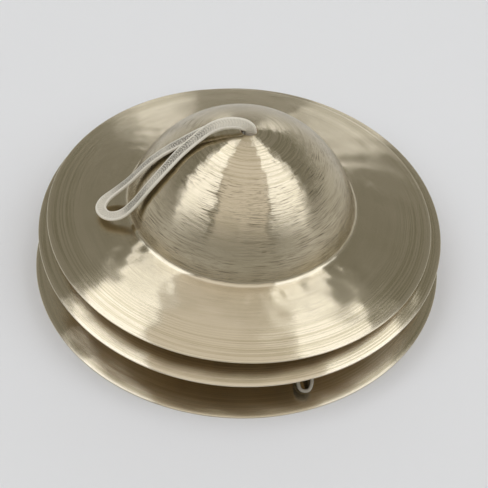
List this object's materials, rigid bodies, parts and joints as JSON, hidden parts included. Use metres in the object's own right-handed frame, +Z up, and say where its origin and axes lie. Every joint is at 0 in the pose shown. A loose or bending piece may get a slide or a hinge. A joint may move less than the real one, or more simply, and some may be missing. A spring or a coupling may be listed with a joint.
{
  "type": "hand cymbals",
  "caption": "Nested stack of big-dome bronze hand cymbals, each with a knotted flat woven hand strap through the crown of its dome.",
  "frame": {"origin": "centre of the lower plate's rim on the surface it stands on", "axes": "+Z up along the lower plate's axis, -Y towards the viewer, +X to the viewer's right"},
  "size_m": [0.3, 0.3, 0.1218],
  "materials": {
    "bronze": "lathe-turned and polished pale gold bronze with fine grooves, scratches and hammer waves",
    "leather": "vegetable-tanned washer, worn shiny by the knot",
    "strap": "pale grey flat woven strap, matt"
  },
  "bodies": {
    "lower_cymbal": {"lower_plate": "bronze", "lower_washer": "leather"},
    "middle_cymbal": {"middle_plate": "bronze", "middle_washer": "leather"},
    "top_cymbal": {"top_plate": "bronze", "top_washer": "leather"},
    "lower_strap": {"lower_knot": "strap", "lower_strap_ends": "strap", "lower_strap_loop": "strap"},
    "middle_strap": {"middle_knot": "strap", "middle_strap_ends": "strap", "middle_strap_loop": "strap"},
    "top_strap": {"top_knot": "strap", "top_strap_ends": "strap", "top_strap_loop": "strap"}
  },
  "joints": [
    {"name": "middle_lift", "type": "slide", "parent": "lower_cymbal", "child": "middle_cymbal", "axis": [0, 0, 1], "range_m": [0, 0.16]},
    {"name": "top_lift", "type": "slide", "parent": "middle_cymbal", "child": "top_cymbal", "axis": [0, 0, 1], "range_m": [0, 0.16]},
    {"name": "lower_strap_swivel", "type": "hinge", "parent": "lower_cymbal", "child": "lower_strap", "pos_m": [0, 0, 0.058], "axis": [0, 0, 1], "continuous": true},
    {"name": "middle_strap_swivel", "type": "hinge", "parent": "middle_cymbal", "child": "middle_strap", "pos_m": [0.00134, -0.00205, 0.08649], "axis": [0.0045, -0.0384, 0.9993], "continuous": true},
    {"name": "top_strap_swivel", "type": "hinge", "parent": "top_cymbal", "child": "top_strap", "pos_m": [0.00325, -0.00048, 0.11203], "axis": [0.0339, -0.007, 0.9994], "continuous": true}
  ]
}
